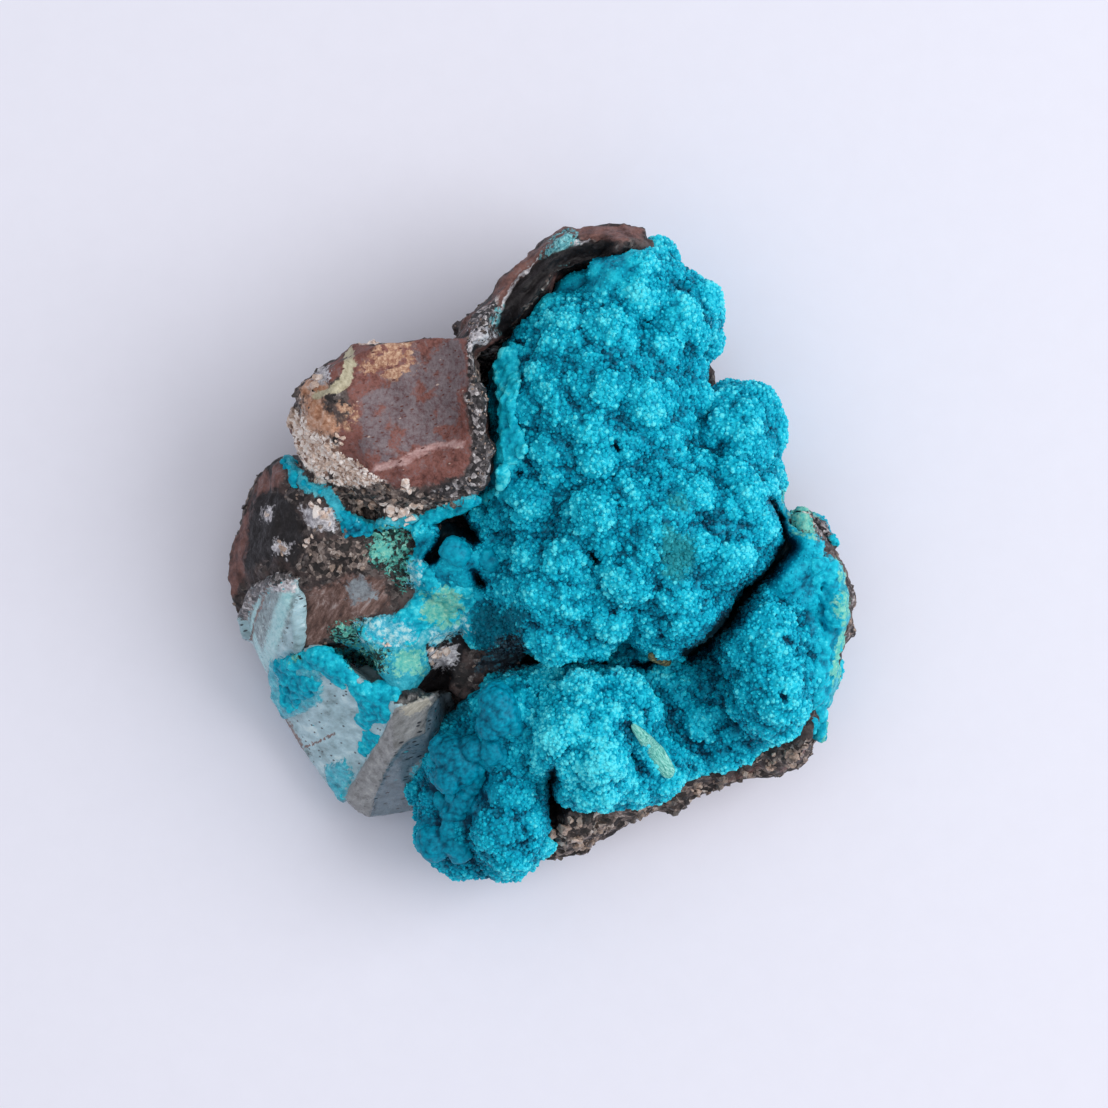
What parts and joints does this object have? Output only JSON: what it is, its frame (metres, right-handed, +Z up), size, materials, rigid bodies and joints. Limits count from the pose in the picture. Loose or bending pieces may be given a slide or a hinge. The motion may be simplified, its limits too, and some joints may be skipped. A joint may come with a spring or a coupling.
{
  "type": "chrysocolla specimen",
  "caption": "Broken lump of iron-stained rock and grey chalcedony, thickly overgrown by a sugary, grape-like blue chrysocolla crust.",
  "frame": {"origin": "on the flat resting face, under the middle of the specimen", "axes": "+Z up and away from the resting face, as the specimen lies on a table; +Y towards the back, where the rock ledge is; +X towards the right, seen from the front"},
  "size_m": [0.0637, 0.0651, 0.0311],
  "materials": {
    "host_rock": "rough, broken, iron-stained",
    "chrysocolla": "sugary druse with small glints",
    "chalcedony": "waxy, slightly translucent"
  },
  "bodies": {
    "root": {"host_rock": "host_rock", "chrysocolla_crust": "chrysocolla", "chalcedony_wedge": "chalcedony"}
  },
  "joints": []
}
